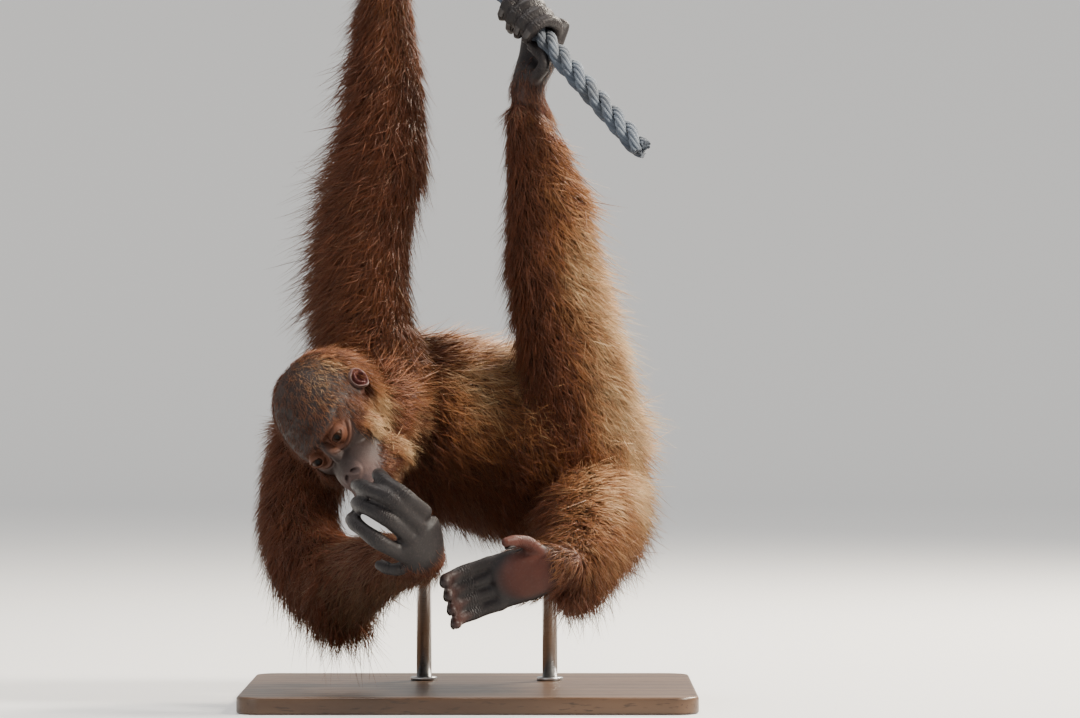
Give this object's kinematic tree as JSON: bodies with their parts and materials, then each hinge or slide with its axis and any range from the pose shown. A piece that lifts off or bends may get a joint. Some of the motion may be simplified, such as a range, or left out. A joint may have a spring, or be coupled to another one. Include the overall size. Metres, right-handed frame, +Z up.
{
  "type": "orangutan figure",
  "caption": "Still life-size model of a young orangutan hanging by one hand and one foot from a cut length of rope, held on a flat base by slim rods.",
  "frame": {"origin": "centre of the underside of the stand's base", "axes": "+Z up, +X towards the animal's rump, so its head is towards -X, and -Y the side that its chest and face turn to"},
  "size_m": [0.47, 0.4751, 0.9527],
  "materials": {
    "coat": "long shaggy reddish-brown hair, golden at the tips",
    "bare_skin": "dark slate-grey wrinkled bare skin, paler and pinker round the eyes and muzzle",
    "eye": "wet dark brown",
    "rope": "laid three-strand rope, grey-blue and weathered",
    "stand_wood": "dark satin hardwood with eased edges",
    "stand_steel": "fine brushed steel rod"
  },
  "bodies": {
    "root": {"head": "coat", "neck": "coat", "chest": "coat", "belly": "coat", "upper_arm_left": "coat", "upper_arm_right": "coat", "forearm_left": "coat", "forearm_right": "coat", "thigh_left": "coat", "thigh_right": "coat", "shank_left": "coat", "shank_right": "coat", "hand_left": "bare_skin", "hand_right": "bare_skin", "foot_left": "bare_skin", "foot_right": "bare_skin", "ear_left": "bare_skin", "ear_right": "bare_skin", "eye_left": "eye", "eye_right": "eye", "perch_rope": "rope", "stand_base": "stand_wood", "stand_rod_chest": "stand_steel", "stand_rod_hips": "stand_steel"}
  },
  "joints": []
}
